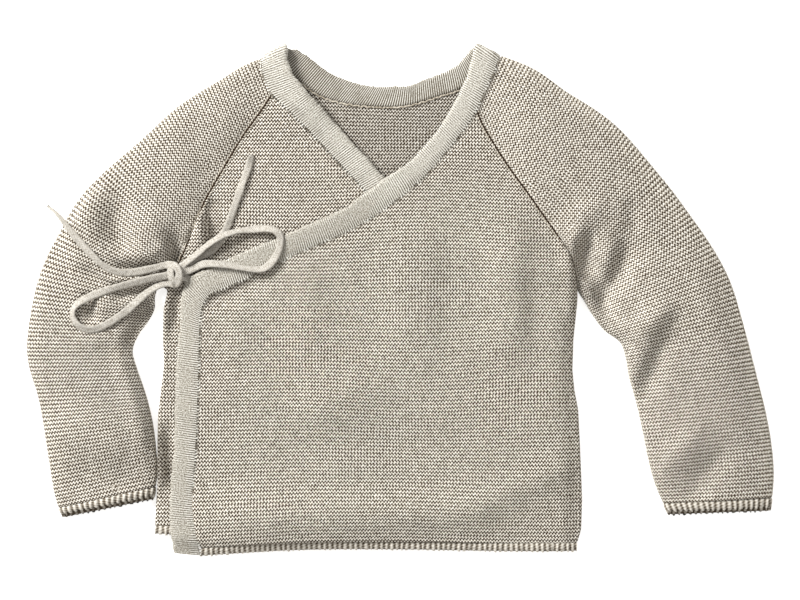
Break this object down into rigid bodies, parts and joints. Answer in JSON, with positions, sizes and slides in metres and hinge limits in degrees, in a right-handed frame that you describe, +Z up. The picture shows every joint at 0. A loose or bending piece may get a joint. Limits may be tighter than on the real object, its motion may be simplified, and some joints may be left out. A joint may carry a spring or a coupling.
{
  "type": "baby wrap cardigan",
  "caption": "Knitted cotton baby wrap cardigan laid flat, raglan long sleeves, V neck, crossed fronts tied with a bow at the side seam.",
  "frame": {"origin": "centre of the garment's outline, on the surface it lies on", "axes": "+Y towards the neck, +Z up from the surface, +X towards the wearer's left sleeve"},
  "size_m": [0.45, 0.3084, 0.0131],
  "materials": {
    "garter_cotton": "matte garter-stitch knit",
    "band_cotton": "matte fine-gauge knit, folded double",
    "tie_cotton": "matte flat-knitted tape"
  },
  "bodies": {
    "root": {"back_panel": "garter_cotton", "front_right": "garter_cotton", "front_left": "garter_cotton", "sleeve_right": "garter_cotton", "sleeve_left": "garter_cotton", "neck_band": "band_cotton", "hem_trim_back": "garter_cotton", "hem_trim_right": "garter_cotton", "hem_trim_left": "garter_cotton", "cuff_trim_right": "garter_cotton", "cuff_trim_left": "garter_cotton", "tie_lead_side": "tie_cotton", "tie_loop_inner": "tie_cotton", "tie_loop_outer": "tie_cotton", "tie_tail_upper": "tie_cotton", "tie_tail_outer": "tie_cotton", "bow_knot": "tie_cotton"}
  },
  "joints": []
}
